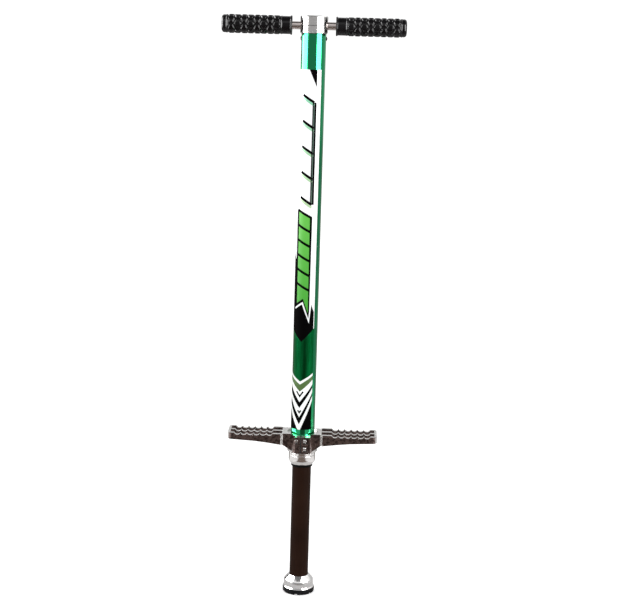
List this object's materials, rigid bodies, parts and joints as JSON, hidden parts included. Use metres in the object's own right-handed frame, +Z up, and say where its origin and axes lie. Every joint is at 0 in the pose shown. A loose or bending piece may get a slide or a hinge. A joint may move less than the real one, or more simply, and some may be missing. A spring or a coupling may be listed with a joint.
{
  "type": "pogo stick",
  "caption": "Pogo stick with a sprung plunger in a tall round tube, a T handlebar with padded grips, cast foot pegs with toothed treads and a rubber tip.",
  "frame": {"origin": "centre of the rubber sole, on the ground, on the axis of the stick", "axes": "+Z up along the stick, +X along the handlebar and the foot pegs, -Y the front, where the clamp's pinch bolts are"},
  "size_m": [0.296, 0.0562, 0.9645],
  "materials": {
    "green_tube": "glossy anodised green",
    "graphic_film": "printed vinyl under clear gloss",
    "cap_metal": "turned and satin polished",
    "casting_metal": "polished casting",
    "bar_steel": "plated, satin",
    "fastener_steel": "zinc plated",
    "grip_rubber": "moulded, semi-gloss",
    "black_plastic": "moulded nylon",
    "natural_plastic": "moulded acetal",
    "wiper_rubber": "moulded",
    "bumper_rubber": "cast urethane",
    "plunger_paint": "dark brown-black powder coat",
    "spring_steel": "oiled spring wire",
    "spacer_metal": "mill finish",
    "washer_brass": "plain",
    "tip_rubber": "moulded, matt"
  },
  "bodies": {
    "frame": {"main_tube": "green_tube", "graphic_film": "graphic_film", "cap_base": "cap_metal", "cap_clamp": "cap_metal", "cap_screws": "fastener_steel", "cap_rivets": "fastener_steel", "handlebar": "bar_steel", "left_grip": "grip_rubber", "right_grip": "grip_rubber", "peg_casting": "casting_metal", "pinch_bolts": "fastener_steel", "pinch_nut": "fastener_steel", "lower_collar": "cap_metal", "guide_bushing": "black_plastic", "wiper_ring": "wiper_rubber", "rebound_bumper": "bumper_rubber", "spacer_tube": "spacer_metal", "spring_top_seat": "natural_plastic", "spring": "spring_steel"},
    "spring_seat": {"thrust_washer": "washer_brass"},
    "plunger": {"plunger_tube": "plunger_paint", "plunger_head": "natural_plastic", "head_pin": "fastener_steel", "foot_cap": "cap_metal", "rubber_tip": "tip_rubber", "tip_washer": "fastener_steel", "tip_bolt": "fastener_steel"}
  },
  "joints": [
    {"name": "plunger_slide", "type": "slide", "parent": "frame", "child": "spring_seat", "axis": [0, 0, 1], "range_m": [0, 0.1], "stiffness_N_per_m": 11600, "springref_m": -0.02, "deforming": ["spring"]},
    {"name": "plunger_turn", "type": "hinge", "parent": "spring_seat", "child": "plunger", "pos_m": [0, 0, 0], "axis": [0, 0, 1], "continuous": true}
  ]
}
